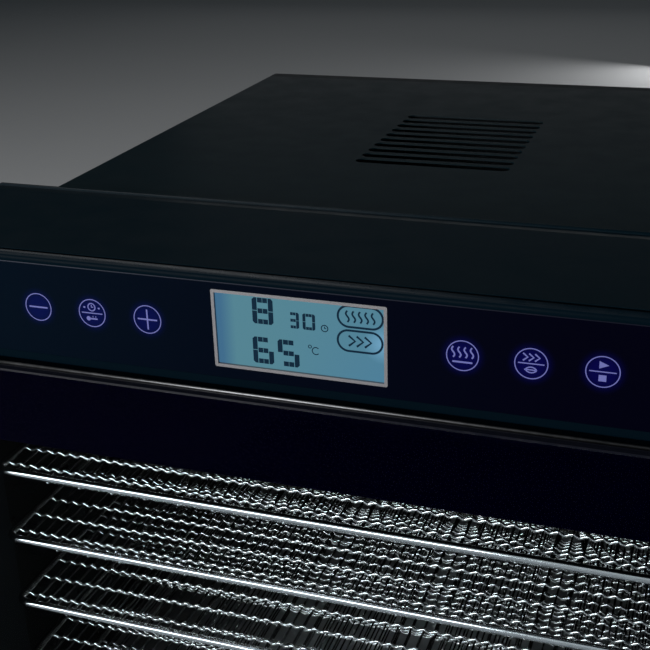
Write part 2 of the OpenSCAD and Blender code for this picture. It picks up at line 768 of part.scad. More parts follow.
module motor_rotor() color(steel) placed() difference() {
    rod_y(motor_y + 2.5, motor_y + stack_l - 2.5, 0, fan_z, rotor_d);
    rod_y(motor_y, motor_y + stack_l, 0, fan_z, shaft_d + 2 * running);
}

module fan_shaft() color(steel) placed() rod_y(shaft_front, shaft_back, 0, fan_z, shaft_d);

// One cambered blade: a slice of a tube whose axis runs along the blade
module blade() {
    camber_r = 0.35 * fan_d;
    chord = 0.26 * fan_d;
    t = 1.2;
    pitch = 28;
    intersection() {
        rotate([0, 0, pitch]) translate([0, camber_r, 0]) difference() {
            cylinder(h = fan_d / 2, r = camber_r, $fn = 96);
            translate([0, 0, -1]) cylinder(h = fan_d, r = camber_r - t, $fn = 96);
        }
        translate([-chord / 2, -14, hub_d / 2 - 2]) cube([chord, 28, fan_d]);
        rotate([90, 0, 0]) cylinder(h = 60, d = fan_d, center = true, $fn = 96);
    }
}

module fan_blade() color(steel) placed() difference() {
    union() {
        rod_y(hub_y, hub_y + hub_l, 0, fan_z, hub_d);
        for (k = [0:blade_count - 1]) translate([0, hub_y + hub_l / 2, fan_z])
            rotate([0, k * 360 / blade_count, 0]) blade();
    }
    rod_y(hub_y - 20, hub_y + hub_l + 20, 0, fan_z, shaft_d + 2 * running);
}

module blade_nut() color(zinc) placed() difference() {
    translate([0, hub_y, fan_z]) rotate([90, 0, 0]) cylinder(h = 5, d = 2.2 * shaft_d, $fn = 6);
    rod_y(hub_y - 6, hub_y + 1, 0, fan_z, shaft_d + 2 * running);
}

module door_gasket() color(rubber_black) placed() difference() {
    front = door_back + seat;
    along_y(front, face_y) mouth_outline(gasket_gap + gasket_w);
    along_y(front - 1, face_y + 1) mouth_outline(gasket_gap);
}

module catch_magnets() color(zinc) placed() for (z = catch_z)
    rod_y(face_y, face_y + magnet_t, latch_x, z, magnet_d);

// Leaf with the pin's eye, and a flange screwed into its pocket in the frame
module hinge_bracket(leaf_z, flange_z) difference() {
    union() {
        translate([hinge_x, hinge_y, leaf_z]) cylinder(h = plate_t, d = stile_t);
        box(flange_x, hinge_x + stile_t / 2, hinge_y, face_y + plate_t, leaf_z, leaf_z + plate_t);
        box(flange_x, flange_x + flange_w, face_y, face_y + plate_t, flange_z, flange_z + flange_h);
    }
    translate([hinge_x, hinge_y, leaf_z - 1]) cylinder(h = plate_t + 2, d = pin_d + 2 * running);
    for (k = [1, 2])
        rod_y(0, face_y + 5, leaf_screw_x, flange_z + flange_h * k / 3, leaf_screw_d + 2 * screw_gap);
}

top_leaf_z = door_top + leaf_gap;
low_leaf_z = door_z - leaf_gap - plate_t;

module hinge_brackets() color(zinc) placed() {
    hinge_bracket(top_leaf_z, top_leaf_z + plate_t - flange_h);
    hinge_bracket(low_leaf_z, low_leaf_z);
}

module hinge_pins() color(steel) placed() {
    translate([hinge_x, hinge_y, top_leaf_z + plate_t]) {
        cylinder(h = pin_head_h, d = pin_head_d);
        translate([0, 0, -plate_t - leaf_gap - pin_depth])
            cylinder(h = plate_t + leaf_gap + pin_depth + eps, d = pin_d);
    }
    translate([hinge_x, hinge_y, low_leaf_z - pin_head_h]) {
        cylinder(h = pin_head_h, d = pin_head_d);
        cylinder(h = pin_head_h + plate_t + leaf_gap + pin_depth, d = pin_d);
    }
}

module hinge_screws() color(zinc) placed()
    for (z0 = [top_leaf_z + plate_t - flange_h, low_leaf_z], k = [1, 2])
    translate([leaf_screw_x, 0, z0 + flange_h * k / 3]) {
        rod_y(face_y - 1.4, face_y, 0, 0, 2 * leaf_screw_d);
        rod_y(face_y - eps, face_y + 4.5, 0, 0, leaf_screw_d);
    }

// Side view of the door glass, with polished arrises
module door_glass_side() {
    c = 0.7;
    y1 = door_back;
    y0 = door_back - door_glass_t;
    polygon([[y0 + c, door_z], [y1 - c, door_z], [y1, door_z + c], [y1, door_top - c],
        [y1 - c, door_top], [y0 + c, door_top], [y0, door_top - c], [y0, door_z + c]]);
}

module door_glass() color([0.10, 0.12, 0.14, 0.5]) placed()
    along_x(-door_glass_w / 2, door_glass_w / 2) door_glass_side();

// Plan view of a stile, with its full-round outer edge at the left and a rebate for the glass
module stile_plan() difference() {
    union() {
        translate([0, hinge_y]) circle(d = stile_t);
        translate([0, door_front]) square([stile_w - stile_t / 2, stile_t]);
    }
    glass_x = stile_w - stile_t / 2 - rebate - 0.2;
    translate([glass_x, door_back - door_glass_t]) square([stile_w, door_glass_t + 1]);
}

module stile(side) translate([side * -hinge_x, 0, door_z]) mirror([side > 0 ? 1 : 0, 0, 0])
    linear_extrude(door_h) stile_plan();

module hinge_stile() color(moulded_black) placed() difference() {
    stile(-1);
    for (z = [door_top - pin_depth - 0.5, door_z - 1.5])
        translate([hinge_x, hinge_y, z]) cylinder(h = pin_depth + 2, d = pin_d + 2 * running);
}

handle_post_z = [handle_z - handle_len / 2 + 14, handle_z + handle_len / 2 - 14];

module handle_stile() color(moulded_black) placed() difference() {
    stile(1);
    for (z = catch_z) rod_y(door_back - strike_t, door_back + 1, latch_x, z, magnet_d + 2 * screw_gap);
    for (z = handle_post_z) {
        rod_y(door_front - 1, door_back + 1, handle_x, z, screw_d + 2 * screw_gap);
        rod_y(door_back - 3, door_back + 1, handle_x, z, 2 * screw_d + 2 * screw_gap);
    }
}

module strike_plates() color(steel) placed() for (z = catch_z)
    rod_y(door_back - strike_t, door_back, latch_x, z, magnet_d);

// Round bar with domed ends on two posts
module door_handle() color(steel) placed() difference() {
    union() {
        translate([handle_x, handle_y, handle_z - handle_len / 2 + handle_d / 2])
            cylinder(h = handle_len - handle_d, d = handle_d);
        for (side = [-1, 1]) translate([handle_x, handle_y, handle_z + side * (handle_len - handle_d) / 2])
            sphere(d = handle_d);
        for (z = handle_post_z) rod_y(handle_y, door_front, handle_x, z, handle_post_d);
    }
    for (z = handle_post_z) rod_y(door_front - 10, door_front + 1, handle_x, z, screw_d + 2 * screw_gap);
}

module handle_screws() color(zinc) placed() for (z = handle_post_z) {
    rod_y(door_back - 3, door_back - 3 + screw_d * 0.6, handle_x, z, screw_d * 1.9);
    rod_y(door_front - 9, door_back - 3 + eps, handle_x, z, screw_d);
}

// A quarter of the rim's corner, turned from +X
module rim_corner(x, y, a) translate([x, y, 0]) rotate([0, 0, a]) rotate_extrude(angle = 90)
    translate([tray_r, 0]) circle(d = rim_d);

// Welded wire tray: rim rod, two thinner rods under it, and crossing mesh wires in two layers
module wire_tray(z) translate([0, tray_setback, z]) {
    half = (tray_w - rim_d) / 2;
    depth = tray_d - rim_d;
    under_z = -(rim_d + under_rod_d) / 2 + 0.3;
    layer = wire_d / 2 + 0.02;
    across = floor((depth - 2 * tray_r) / wire_pitch);
    along = floor((2 * half - 2 * tray_r) / wire_pitch);
    for (y = [0, depth]) rod_x(-half + tray_r, half - tray_r, y, 0, rim_d);
    for (x = [-half, half]) rod_y(tray_r, depth - tray_r, x, 0, rim_d);
    rim_corner(half - tray_r, depth - tray_r, 0);
    rim_corner(-half + tray_r, depth - tray_r, 90);
    rim_corner(-half + tray_r, tray_r, 180);
    rim_corner(half - tray_r, tray_r, 270);
    for (y = [0, depth]) rod_x(-half + rib_reach, half - rib_reach, y, under_z, under_rod_d);
    for (k = [0:across]) rod_x(-half, half, depth / 2 + (k - across / 2) * wire_pitch, -layer, wire_d);
    for (k = [0:along]) rod_y(0, depth, (k - along / 2) * wire_pitch, layer, wire_d);
}

module tray_1() color(steel) placed() wire_tray(tray_z(1));

module tray_2() color(steel) placed() wire_tray(tray_z(2));

module tray_3() color(steel) placed() wire_tray(tray_z(3));

module tray_4() color(steel) placed() wire_tray(tray_z(4));

module tray_5() color(steel) placed() wire_tray(tray_z(5));

// Shallow pan with rounded corners and a rolled front edge to pull on
module drip_tray() color(steel) placed() translate([0, 0, floor_z + 0.2]) {
    front = tray_setback - rim_d / 2;
    inner_w = tray_w - 2 * sheet;
    inner_d = tray_d - 2 * sheet;
    difference() {
        linear_extrude(drip_h) translate([0, front]) rounded_rect(tray_w, tray_d, tray_r);
        translate([0, 0, sheet]) linear_extrude(drip_h)
            translate([0, front + sheet]) rounded_rect(inner_w, inner_d, tray_r - sheet);
    }
    rod_x(-tray_w / 2 + tray_r, tray_w / 2 - tray_r, front + sheet / 2, drip_h, 3 * sheet);
}

front_frame();
front_bezel();
control_glass();
display_trim();
display_module();
control_board();
touch_springs();
board_screws();
ribbon_cable();
power_board();
cabinet_shell();
base_pan();
feet();
rear_cover();
rear_screws();
cord_gland();
chamber_roof();
chamber_floor();
side_panel_left();
side_panel_right();
floor_crossbars();
exhaust_duct();
fan_guard();
rear_bulkhead();
heater_coil();
heater_clips();
thermal_cutout();
temperature_probe();
fan_motor();
motor_brackets();
motor_posts();
motor_rotor();
fan_shaft();
fan_blade();
blade_nut();
door_gasket();
catch_magnets();
hinge_brackets();
hinge_pins();
hinge_screws();
door_glass();
hinge_stile();
handle_stile();
strike_plates();
door_handle();
handle_screws();
tray_1();
tray_2();
tray_3();
tray_4();
tray_5();
drip_tray();
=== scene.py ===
"""Looks of the food dehydrator: finishes, crimped tray mesh, display, icons, door print and studio."""
import math

import bpy
import numpy as np
from mathutils import Matrix, Vector


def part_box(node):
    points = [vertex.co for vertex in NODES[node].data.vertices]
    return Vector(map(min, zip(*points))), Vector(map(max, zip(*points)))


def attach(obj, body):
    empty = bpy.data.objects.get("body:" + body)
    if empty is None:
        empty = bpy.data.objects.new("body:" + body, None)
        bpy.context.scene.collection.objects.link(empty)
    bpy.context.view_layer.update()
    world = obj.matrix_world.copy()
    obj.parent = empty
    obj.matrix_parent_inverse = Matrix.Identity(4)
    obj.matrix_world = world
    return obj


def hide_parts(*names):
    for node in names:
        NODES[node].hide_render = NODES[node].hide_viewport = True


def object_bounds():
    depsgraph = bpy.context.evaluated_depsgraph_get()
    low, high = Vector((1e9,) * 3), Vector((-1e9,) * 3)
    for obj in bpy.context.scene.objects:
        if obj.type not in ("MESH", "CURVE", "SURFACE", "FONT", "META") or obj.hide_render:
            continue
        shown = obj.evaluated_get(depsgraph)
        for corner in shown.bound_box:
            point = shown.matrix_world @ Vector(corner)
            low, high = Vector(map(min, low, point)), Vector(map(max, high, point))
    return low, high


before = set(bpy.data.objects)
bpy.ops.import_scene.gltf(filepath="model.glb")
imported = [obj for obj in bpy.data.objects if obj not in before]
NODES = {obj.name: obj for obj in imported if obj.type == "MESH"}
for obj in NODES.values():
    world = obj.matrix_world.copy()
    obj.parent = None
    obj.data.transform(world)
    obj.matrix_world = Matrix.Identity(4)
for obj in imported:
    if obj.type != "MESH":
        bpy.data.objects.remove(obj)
cad_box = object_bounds()
MM = 0.001
TRAYS = ["tray_1", "tray_2", "tray_3", "tray_4", "tray_5"]


# ---------------------------------------------------------------- node helpers


class Finish:
    """A material with one Principled shader, and the small steps that give it its detail.

    Its color and roughness are what it has where no pattern varies them.
    """

    def __init__(self, name, color, roughness, metallic=0.0, specular=0.5):
        self.mat = bpy.data.materials.new(name)
        self.mat.use_nodes = True
        self.tree = self.mat.node_tree
        self.shader = self.tree.nodes["Principled BSDF"]
        self.shader.inputs["Base Color"].default_value = (*color, 1.0)
        self.shader.inputs["Roughness"].default_value = roughness
        self.shader.inputs["Metallic"].default_value = metallic
        self.shader.inputs["Specular IOR Level"].default_value = specular

    def node(self, kind, **values):
        """A new node, with its settings and sockets given by name."""
        n = self.tree.nodes.new(kind)
        for key, value in values.items():
            if hasattr(n, key):
                setattr(n, key, value)
            else:
                n.inputs[key.replace("_", " ")].default_value = value
        return n

    def link(self, output, target):
        self.tree.links.new(output, target)

    def feed(self, socket, value):
        """Links an output to a socket, or sets a plain number or colour on it."""
        if isinstance(value, bpy.types.NodeSocket):
            self.link(value, socket)
        elif isinstance(value, tuple):
            socket.default_value = (*value, 1.0)
        else:
            socket.default_value = value

    def place(self, stretch=(1.0, 1.0, 1.0)):
        """The position in the object's own frame, in metres, stretched along each axis."""
        coords = self.node("ShaderNodeTexCoord")
        mapping = self.node("ShaderNodeMapping")
        mapping.inputs["Scale"].default_value = stretch
        self.link(coords.outputs["Object"], mapping.inputs["Vector"])
        return mapping.outputs["Vector"]

    def axes(self):
        """The X, Y and Z of that position, in metres."""
        split = self.node("ShaderNodeSeparateXYZ")
        self.link(self.place(), split.inputs["Vector"])
        return split.outputs

    def distance_to(self, spot):
        """The distance from the surface point to a spot, in metres."""
        n = self.node("ShaderNodeVectorMath", operation="DISTANCE")
        self.link(self.place(), n.inputs[0])
        n.inputs[1].default_value = spot
        return n.outputs["Value"]

    def noise(self, scale, detail, stretch):
        n = self.node("ShaderNodeTexNoise", Scale=scale, Detail=detail)
        self.link(self.place(stretch), n.inputs["Vector"])
        return n.outputs["Fac"]

    def spread(self, value, low, high, start=0.3, end=0.7):
        """Maps start..end of a value on to low..high. Unless given, they are a pattern's middle range."""
        n = self.node("ShaderNodeMapRange", From_Min=start, From_Max=end, To_Min=low, To_Max=high)
        self.link(value, n.inputs["Value"])
        return n.outputs["Result"]

    def vary_roughness(self, scale, low, high, stretch=(1.0, 1.0, 1.0)):
        pattern = self.noise(scale, 3.0, stretch)
        self.link(self.spread(pattern, low, high), self.shader.inputs["Roughness"])
        return self

    def vary_color(self, scale, one, other, stretch=(1.0, 1.0, 1.0), start=0.35, end=0.65):
        pattern = self.spread(self.noise(scale, 3.0, stretch), 0.0, 1.0, start, end)
        self.link(self.mix_colors(pattern, one, other), self.shader.inputs["Base Color"])
        return self

    def mix_colors(self, factor, one, other):
        n = self.node("ShaderNodeMix", data_type="RGBA")
        self.link(factor, n.inputs["Factor"])
        self.feed(n.inputs[6], one)
        self.feed(n.inputs[7], other)
        return n.outputs[2]

    def combine(self, operation, one, other):
        """Arithmetic on two values."""
        n = self.node("ShaderNodeMath", operation=operation)
        self.feed(n.inputs[0], one)
        self.feed(n.inputs[1], other)
        return n.outputs["Value"]

    def grain(self, scale, strength, distance, detail=3.0, stretch=(1.0, 1.0, 1.0)):
        """Fine relief all over the surface."""
        relief = self.node("ShaderNodeBump", Strength=strength, Distance=distance)
        self.link(self.noise(scale, detail, stretch), relief.inputs["Height"])
        self.link(relief.outputs["Normal"], self.shader.inputs["Normal"])
        return self


def paint(finish, *names):
    """Gives CAD nodes a finish, in every slot of their mesh."""
    for name in names:
        slots = NODES[name].data.materials
        if not len(slots):
            slots.append(finish.mat)
        for k in range(len(slots)):
            slots[k] = finish.mat


# ---------------------------------------------------------------- mesh helpers


def mesh_object(name, verts, faces, finish, smooth=True):
    mesh = bpy.data.meshes.new(name)
    mesh.from_pydata([tuple(v) for v in verts], [], [tuple(f) for f in faces])
    mesh.materials.append(finish.mat)
    if smooth:
        mesh.shade_smooth()
    obj = bpy.data.objects.new(name, mesh)
    bpy.context.scene.collection.objects.link(obj)
    return obj


def joined(parts):
    """One vertex and face list from several."""
    verts, faces, base = [], [], 0
    for part_verts, part_faces in parts:
        verts.extend(part_verts)
        faces.extend([tuple(i + base for i in f) for f in part_faces])
        base += len(part_verts)
    return verts, faces


def ring_faces(a, b, sides):
    """Quads between the ring of points that starts at a and the one that starts at b."""
    return [(a + k, a + (k + 1) % sides, b + (k + 1) % sides, b + k) for k in range(sides)]


def tubes(paths, side_axis, radius, sides):
    """Round wires along paths of equal length. Each path lies in a plane square to side_axis."""
    paths = np.asarray(paths, float)
    count, steps, _ = paths.shape
    ahead = np.gradient(paths, axis=1)
    ahead /= np.linalg.norm(ahead, axis=2, keepdims=True)
    side = np.broadcast_to(np.asarray(side_axis, float), ahead.shape)
    up = np.cross(side, ahead)
    angles = np.arange(sides) * 2 * math.pi / sides
    ring = np.cos(angles)[:, None] * up[:, :, None, :] + np.sin(angles)[:, None] * side[:, :, None, :]
    verts = (paths[:, :, None, :] + radius * ring).reshape(-1, 3)
    faces = []
    for w in range(count):
        first = w * steps * sides
        for s in range(steps - 1):
            faces.extend(ring_faces(first + s * sides, first + (s + 1) * sides, sides))
        last = first + (steps - 1) * sides
        faces.append(tuple(first + k for k in reversed(range(sides))))
        faces.append(tuple(last + k for k in range(sides)))
    return verts.tolist(), faces


def loop_tube(points, radius, sides):
    """A closed round rod along points in one level plane."""
    points = np.asarray(points, float)
    ahead = np.roll(points, -1, 0) - np.roll(points, 1, 0)
    ahead /= np.linalg.norm(ahead, axis=1, keepdims=True)
    up = np.array((0.0, 0.0, 1.0))
    out = np.cross(ahead, up)
    verts = []
    for p, n in zip(points, out):
        for k in range(sides):
            a = 2 * math.pi * k / sides
            verts.append(tuple(p + radius * (math.cos(a) * n + math.sin(a) * up)))
    rings = len(points)
    faces = []
    for r in range(rings):
        faces.extend(ring_faces(r * sides, ((r + 1) % rings) * sides, sides))
    return verts, faces


def straight_rod(start, end, radius, sides=14):
    """A level round rod."""
    start, end = np.asarray(start, float), np.asarray(end, float)
    path = [start + (end - start) * t for t in (0.0, 0.5, 1.0)]
    return tubes([path], (0.0, 0.0, 1.0), radius, sides)


def weld_drop(center, radii, rings=5, sides=8):
    """A small rounded drop of weld, with a little flat at either end."""
    flat = 0.04
    verts, faces = [], []
    for r in range(rings + 1):
        polar = math.pi * (flat + (1 - 2 * flat) * r / rings)
        for k in range(sides):
            a = 2 * math.pi * k / sides
            verts.append((
                center[0] + radii[0] * math.sin(polar) * math.cos(a),
                center[1] + radii[1] * math.sin(polar) * math.sin(a),
                center[2] - radii[2] * math.cos(polar),
            ))
    for r in range(rings):
        faces.extend(ring_faces(r * sides, (r + 1) * sides, sides))
    faces.append(tuple(reversed(range(sides))))
    faces.append(tuple(rings * sides + k for k in range(sides)))
    return verts, faces


# ---------------------------------------------------------------- flat symbols


def arc(cx, cz, r, start, end, steps):
    """Points of an arc in degrees, anticlockwise from the right."""
    angles = [math.radians(start + (end - start) * k / steps) for k in range(steps + 1)]
    return [(cx + r * math.cos(a), cz + r * math.sin(a)) for a in angles]


def stroke(points, width, closed=False):
    """A band of even width along a line of (x, z) points, as a list of quads."""
    n = len(points)
    left, right = [], []
    for k in range(n):
        before = points[(k - 1) % n] if closed or k else points[k]
        after = points[(k + 1) % n] if closed or k < n - 1 else points[k]
        dx, dz = after[0] - before[0], after[1] - before[1]
        size = math.hypot(dx, dz) or 1.0
        nx, nz = -dz / size * width / 2, dx / size * width / 2
        left.append((points[k][0] + nx, points[k][1] + nz))
        right.append((points[k][0] - nx, points[k][1] - nz))
    spans = n if closed else n - 1
    return [(left[k], right[k], right[(k + 1) % n], left[(k + 1) % n]) for k in range(spans)]


def thin_plates(shapes, place, front, back):
    """Plates from flat shapes in (x, z) millimetres about a place. Front and back are Y in metres."""
    verts, faces = [], []
    for shape in shapes:
        n = len(shape)
        base = len(verts)
        area = sum(shape[k][0] * shape[(k + 1) % n][1] - shape[(k + 1) % n][0] * shape[k][1]
                   for k in range(n))
        outline = shape if area > 0 else tuple(reversed(shape))
        for depth in (front, back):
            verts.extend((place[0] + x * MM, depth, place[1] + z * MM) for x, z in outline)
        faces.append(tuple(base + k for k in range(n)))
        faces.append(tuple(base + n + k for k in reversed(range(n))))
        faces.extend((base + (k + 1) % n, base + k, base + n + k, base + n + (k + 1) % n)
                     for k in range(n))
    return verts, faces


def bar(x0, x1, z0, z1):
    """A list of one rectangle."""
    return [((x0, z0), (x1, z0), (x1, z1), (x0, z1))]


# Bars lit for each digit, with a to g for: top, upper right, lower right, bottom, lower left, upper
# left, middle
LIT = {0: "abcdef", 3: "abgcd", 5: "afgcd", 6: "afgedc", 8: "abcdefg"}


def digit(value, x, z, w, h, t):
    """A digit w by h with bars t thick and its lower left corner at x, z. Its level bars are halved."""
    gap = 0.14 * t
    cut = 0.45 * t
    mid = z + h / 2
    level = {"a": z + h - t, "g": mid - t / 2, "d": z}
    shapes = []
    for name in LIT[value]:
        if name in level:
            middle = x + w / 2
            shapes += bar(x + t + gap, middle - gap / 3, level[name], level[name] + t)
            shapes += bar(middle + gap / 3, x + w - t - gap, level[name], level[name] + t)
            continue
        outer, inward = (x, 1) if name in "ef" else (x + w, -1)
        end, back = (z + h, -1) if name in "bf" else (z, 1)
        near = mid - back * gap / 2
        inner = outer + inward * t
        shapes.append(((outer, near), (inner, near), (inner, end), (outer + inward * cut, end),
                       (outer, end + back * cut)))
    return shapes


def chevrons(cx, cz, size, width, count):
    """Arrowheads that point right."""
    shapes = []
    for k in range(count):
        x = cx + (k - (count - 1) / 2) * size * 0.75
        shapes += stroke([(x - size * 0.3, cz + size * 0.5), (x + size * 0.3, cz),
                          (x - size * 0.3, cz - size * 0.5)], width)
    return shapes


def heat_waves(cx, cz, size, width, count):
    """Upright waves, side by side."""
    steps = 12
    shapes = []
    for k in range(count):
        x = cx + (k - (count - 1) / 2) * size * 0.55
        line = [(x + size * 0.13 * math.sin(2 * math.pi * s / steps), cz + size * (s / steps - 0.5))
                for s in range(steps + 1)]
        shapes += stroke(line, width)
    return shapes


def pill(cx, cz, w, h, width):
    """An outline with round ends."""
    r = h / 2
    line = arc(cx + w / 2 - r, cz, r, -90, 90, 16) + arc(cx - w / 2 + r, cz, r, 90, 270, 16)
    return stroke(line, width, closed=True)


# ---------------------------------------------------------------- finishes

cover_plastic = Finish("cover_grained", (0.011, 0.013, 0.015), 0.5, specular=0.4)
cover_plastic.vary_roughness(70.0, 0.44, 0.56).grain(1500.0, 0.4, 0.05 * MM)

powder = Finish("cabinet_powder_coat", (0.0018, 0.0085, 0.0120), 0.34, specular=0.22)
powder.vary_roughness(45.0, 0.30, 0.38).grain(1400.0, 0.25, 0.04 * MM)

enamel = Finish("liner_enamel", (0.002, 0.003, 0.004), 0.30, specular=0.10)
enamel.vary_roughness(40.0, 0.25, 0.38).grain(320.0, 0.08, 0.06 * MM)

rubber = Finish("rubber_matt", (0.012, 0.012, 0.013), 0.72, specular=0.3)
rubber.vary_roughness(120.0, 0.64, 0.8).grain(900.0, 0.4, 0.06 * MM)

silver = Finish("display_trim_silver", (0.22, 0.215, 0.225), 0.42, metallic=0.55)
silver.vary_roughness(200.0, 0.36, 0.5).grain(2400.0, 0.2, 0.02 * MM)

door_bead = Finish("door_bead_satin", (0.18, 0.184, 0.192), 0.42, metallic=1.0)
door_bead.vary_roughness(240.0, 0.36, 0.48).grain(1600.0, 0.1, 0.02 * MM)

polished_wire = Finish("wire_electropolished", (0.88, 0.88, 0.87), 0.12, metallic=1.0)
polished_wire.vary_roughness(160.0, 0.09, 0.16).grain(700.0, 0.08, 0.03 * MM)

mesh_wire = Finish("mesh_drawn_wire", (0.92, 0.92, 0.89), 0.16, metallic=1.0)
mesh_wire.vary_roughness(420.0, 0.12, 0.22).grain(1600.0, 0.12, 0.02 * MM)

# Painted shade: the long wires are the same steel as the cross wires, but painted much darker so that
# they stay dark under the lamps.
long_wire_painted_shade = Finish("mesh_straight_wire_painted_shade", (0.15, 0.155, 0.15), 0.1, metallic=1.0)
long_wire_painted_shade.vary_roughness(420.0, 0.07, 0.15).grain(1600.0, 0.12, 0.02 * MM)

brushed = Finish("steel_brushed", (0.62, 0.62, 0.61), 0.3, metallic=1.0)
brushed.vary_roughness(300.0, 0.24, 0.4, (1, 1, 0.04)).grain(2200.0, 0.18, 0.02 * MM, 2.0, (1, 1, 0.03))

stainless = Finish("steel_rolled", (0.60, 0.60, 0.59), 0.34, metallic=1.0)
stainless.vary_roughness(260.0, 0.28, 0.42, (0.05, 1, 1))
stainless.grain(1800.0, 0.15, 0.02 * MM, 2.0, (0.04, 1, 1))

zinc = Finish("zinc_passivated", (0.55, 0.56, 0.55), 0.45, metallic=0.9)
zinc.vary_color(220.0, (0.50, 0.51, 0.50), (0.62, 0.61, 0.56)).vary_roughness(500.0, 0.38, 0.55)
zinc.grain(900.0, 0.15, 0.03 * MM)

board = Finish("board_lacquer", (0.02, 0.10, 0.045), 0.32)
board.vary_color(900.0, (0.012, 0.075, 0.032), (0.03, 0.15, 0.06), (1, 1, 0.12), 0.46, 0.54)
board.grain(1200.0, 0.25, 0.03 * MM)

ribbon = Finish("ribbon_jacket", (0.5, 0.5, 0.5), 0.45)
ribbon.grain(800.0, 0.4, 0.1 * MM, 0.0, (1.0, 0.02, 0.02))

sheath = Finish("heater_sheath", (0.20, 0.17, 0.15), 0.42, metallic=0.85)
sheath.vary_color(90.0, (0.24, 0.20, 0.17), (0.11, 0.10, 0.12)).grain(1200.0, 0.2, 0.03 * MM)

ceramic = Finish("ceramic_glaze", (0.72, 0.68, 0.55), 0.3)
ceramic.vary_roughness(150.0, 0.22, 0.4).grain(500.0, 0.1, 0.05 * MM)

laminations = Finish("motor_laminations", (0.30, 0.29, 0.27), 0.5, metallic=0.7)
laminations.vary_color(60.0, (0.33, 0.31, 0.28), (0.24, 0.22, 0.2))
laminations.grain(2000.0, 0.6, 0.15 * MM, 0.0, (0.02, 1.0, 0.02))

blade_metal = Finish("blade_aluminium", (0.66, 0.67, 0.68), 0.36, metallic=1.0)
blade_metal.vary_roughness(180.0, 0.3, 0.46).grain(1100.0, 0.15, 0.03 * MM)

ink = Finish("display_ink", (0.0030, 0.017, 0.036), 0.4, specular=0.05)
ink.vary_roughness(400.0, 0.3, 0.42)

print_black = Finish("door_print", (0.0001, 0.0001, 0.0052), 0.5, specular=0.0)
print_black.vary_roughness(150.0, 0.45, 0.58)


def frame_satin_painted_recess_shade():
    """Satin black moulding, whose recessed face behind the door is painted darker and matt as painted
    shade.
    """
    black, shine = (0.0006, 0.0062, 0.0105), 0.2
    satin = Finish("frame_satin_painted_recess_shade", black, 0.32, specular=shine)
    satin.vary_roughness(60.0, 0.28, 0.36).grain(2600.0, 0.22, 0.03 * MM)
    face_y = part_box("door_gasket")[1].y
    edge = (face_y + 0.1 * MM, face_y + 0.4 * MM)
    depth = satin.axes()["Y"]
    behind = satin.spread(depth, 0.0, 1.0, *edge)
    # Painted shade: the recessed face behind the door gets a near-black colour and no shine.
    painted_light_tint = satin.mix_colors(behind, (0.0002, 0.0006, 0.0012), black)
    satin.link(painted_light_tint, satin.shader.inputs["Base Color"])
    satin.link(satin.spread(depth, 0.0, shine, *edge), satin.shader.inputs["Specular IOR Level"])
    return satin


def bezel_gloss_painted_seam_shade():
    """Semi-gloss black that shines on the upper half of the bezel's rounded top edge. Its topmost edge,
    at the seam, is painted darker as painted shade.
    """
    black = (0.0007, 0.0044, 0.0080)
    gloss = Finish("bezel_semi_gloss_painted_seam_shade", black, 0.28, specular=0.02)
    gloss.vary_roughness(90.0, 0.24, 0.32).grain(1800.0, 0.12, 0.02 * MM)
    foot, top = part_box("control_glass")[1].z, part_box("front_bezel")[1].z
    height = gloss.axes()["Z"]
    rising = gloss.spread(height, 0.01, 0.36, foot + 2.7 * MM, foot + 3.6 * MM)
    seam_shade_fade = gloss.spread(height, 1.0, 0.0, top - 0.30 * MM, top - 0.10 * MM)
    gloss.link(gloss.combine("MULTIPLY", rising, seam_shade_fade), gloss.shader.inputs["Specular IOR Level"])
    # Painted shade: the top 0.1 to 0.3 mm of the bezel, at its seam, is painted darker and loses its
    # shine.
    painted_light_tint = gloss.mix_colors(seam_shade_fade, (0.0003, 0.0008, 0.0014), black)
    gloss.link(painted_light_tint, gloss.shader.inputs["Base Color"])
    return gloss


def icon_halos(glass, spots):
    """How strongly the glass glows: most at each icon's middle, fading out a little beyond its ring."""
    reach, core, strongest = 11.5 * MM, 3.0 * MM, 0.12
    total = None
    for spot in spots:
        near = glass.node("ShaderNodeMapRange", interpolation_type="SMOOTHERSTEP",
                          From_Min=reach, From_Max=core, To_Max=strongest)
        glass.link(glass.distance_to(spot), near.inputs["Value"])
        level = near.outputs["Result"]
        total = level if total is None else glass.combine("ADD", total, level)
    return total


def panel_glass(spots):
    """Polished tinted glass, painted bluer at the left as a painted sheen, with a painted highlight along
    its top edge and blue light round each icon.
    """
    # Painted sheen: the glass is painted bluer at the left, where the lamps fall on it, and darker at the
    # right.
    left, right = (0.0000, 0.0028, 0.0078), (0.0000, 0.0000, 0.0040)
    glass = Finish("panel_glass", left, 0.06, specular=0.02)
    glass.vary_roughness(30.0, 0.04, 0.09)
    axes = glass.axes()
    across = glass.spread(axes["X"], 0.0, 1.0, -150 * MM, 120 * MM)
    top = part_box("control_glass")[1].z
    # Painted highlight: a pale line along the glass's top edge, brightest at the left.
    rim = glass.spread(axes["Z"], 0.0, 1.0, top - 0.55 * MM, top - 0.3 * MM)
    painted_light_tint = glass.mix_colors(across, left, right)
    edge = glass.mix_colors(across, (0.040, 0.044, 0.058), (0.008, 0.009, 0.016))
    glass.link(glass.mix_colors(rim, painted_light_tint, edge), glass.shader.inputs["Base Color"])
    glow = glass.mix_colors(icon_halos(glass, spots), (0.0, 0.0, 0.0), (0.012, 0.010, 0.42))
    glass.link(glow, glass.shader.inputs["Emission Color"])
    glass.shader.inputs["Emission Strength"].default_value = 1.0
    return glass


